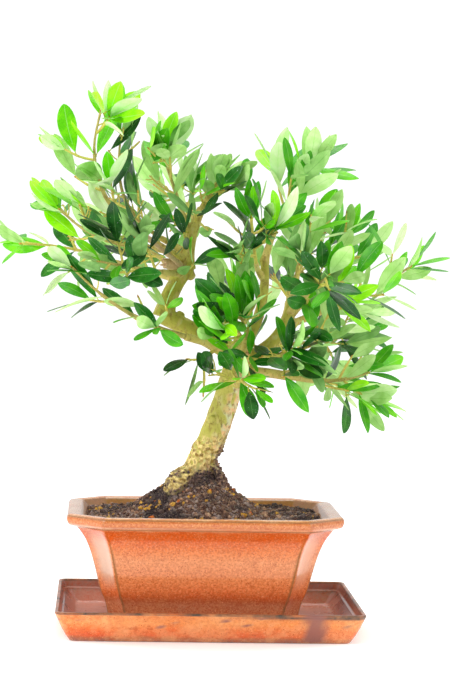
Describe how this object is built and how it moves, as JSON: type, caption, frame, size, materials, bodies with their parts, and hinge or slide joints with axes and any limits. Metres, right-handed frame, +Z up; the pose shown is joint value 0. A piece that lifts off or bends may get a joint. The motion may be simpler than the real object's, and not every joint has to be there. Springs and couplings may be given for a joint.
{
  "type": "olive bonsai",
  "caption": "Small olive tree grown as a bonsai: leaning trunk, forked limbs and open leafy crown, in an oblong glazed pot with cut corners on a matching drip tray.",
  "frame": {"origin": "on the flat underside of the drip tray, under its middle", "axes": "+Z up; +X to the right of the tree and -Y towards its front, as it is shown; the pot's long side runs along X"},
  "size_m": [0.3272, 0.2285, 0.3973],
  "materials": {
    "tray": "mottled orange glaze",
    "pot": "orange-brown glaze, thinner and lighter at the rim, darker low down",
    "soil": "moist crumbly potting soil",
    "bark": "knobby olive-brown bark",
    "branch_bark": "smooth olive-green bark",
    "cut_wood": "dry, weathered wood",
    "leaves": "glossy dark green upper sides, pale undersides",
    "young_leaves": "bright green young leaves"
  },
  "bodies": {
    "root": {"tray": "tray", "pot": "pot", "soil": "soil", "trunk": "bark", "limb_low": "branch_bark", "limb_rise": "branch_bark", "limb_crown": "branch_bark", "limb_middle": "branch_bark", "limb_right": "branch_bark", "limb_stub": "cut_wood", "twig_dry": "cut_wood", "bough_low_right": "branch_bark", "bough_crest": "branch_bark", "bough_left_spray": "branch_bark", "bough_far_left": "branch_bark", "bough_left_middle": "branch_bark", "bough_left_front": "branch_bark", "bough_low_left": "branch_bark", "bough_top_left": "branch_bark", "bough_back_left": "branch_bark", "bough_back_top": "branch_bark", "bough_right_top": "branch_bark", "bough_right_inner": "branch_bark", "bough_right_upper": "branch_bark", "bough_far_right": "branch_bark", "bough_right_front": "branch_bark", "bough_upright": "branch_bark", "bough_rosette": "branch_bark", "bough_front_centre": "branch_bark", "bough_middle_low": "branch_bark", "bough_under_left": "branch_bark", "bough_back_right": "branch_bark", "bough_back_low": "branch_bark", "bough_back_centre": "branch_bark", "mass_crest": "young_leaves", "mass_left_spray": "young_leaves", "mass_far_left": "young_leaves", "mass_left_middle": "leaves", "mass_left_front": "leaves", "mass_low_left": "leaves", "mass_top_left": "leaves", "mass_crown": "young_leaves", "mass_back_left": "leaves", "mass_back_top": "leaves", "mass_right_top": "leaves", "mass_right_inner": "leaves", "mass_right_middle": "leaves", "mass_right_upper": "leaves", "mass_far_right": "leaves", "mass_right_front": "leaves", "mass_upright": "leaves", "mass_low_right": "leaves", "mass_rosette": "leaves", "mass_front_centre": "leaves", "mass_middle_low": "leaves", "mass_under_left": "leaves", "mass_back_right": "leaves", "mass_back_low": "leaves", "mass_back_centre": "leaves"}
  },
  "joints": []
}
